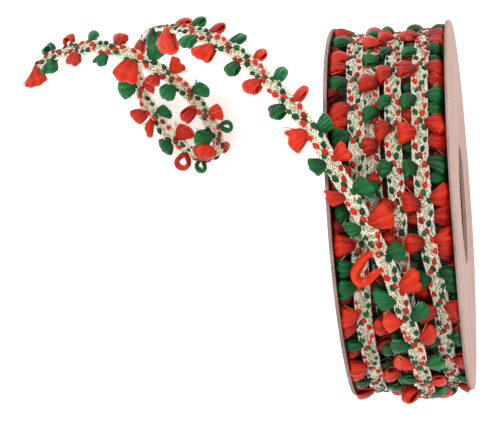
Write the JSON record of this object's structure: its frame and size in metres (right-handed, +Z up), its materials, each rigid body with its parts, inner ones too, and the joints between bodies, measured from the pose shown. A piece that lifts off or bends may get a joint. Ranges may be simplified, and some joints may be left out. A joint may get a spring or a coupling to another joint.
{
  "type": "pom pom ribbon on a reel",
  "caption": "Braided trim with looped red and green tufts along both edges, wound on a round card reel, its loose end lifting over one flange and curling on the surface.",
  "frame": {"origin": "on the surface that the reel stands on, under the middle of the reel", "axes": "+X along the reel's axis, from the flange that the loose end crosses to the other one; +Z up"},
  "size_m": [0.1271, 0.1096, 0.1043],
  "materials": {
    "cardboard": "matt pinkish card with a grey cut edge",
    "core_card": "matt, darker rolled card",
    "ribbon": "cream braid with fine metallic threads, satin red and green yarn tufts"
  },
  "bodies": {
    "root": {"flange_left": "cardboard", "flange_right": "cardboard", "core_tube": "core_card", "winding": "ribbon", "loose_end": "ribbon"}
  },
  "joints": []
}
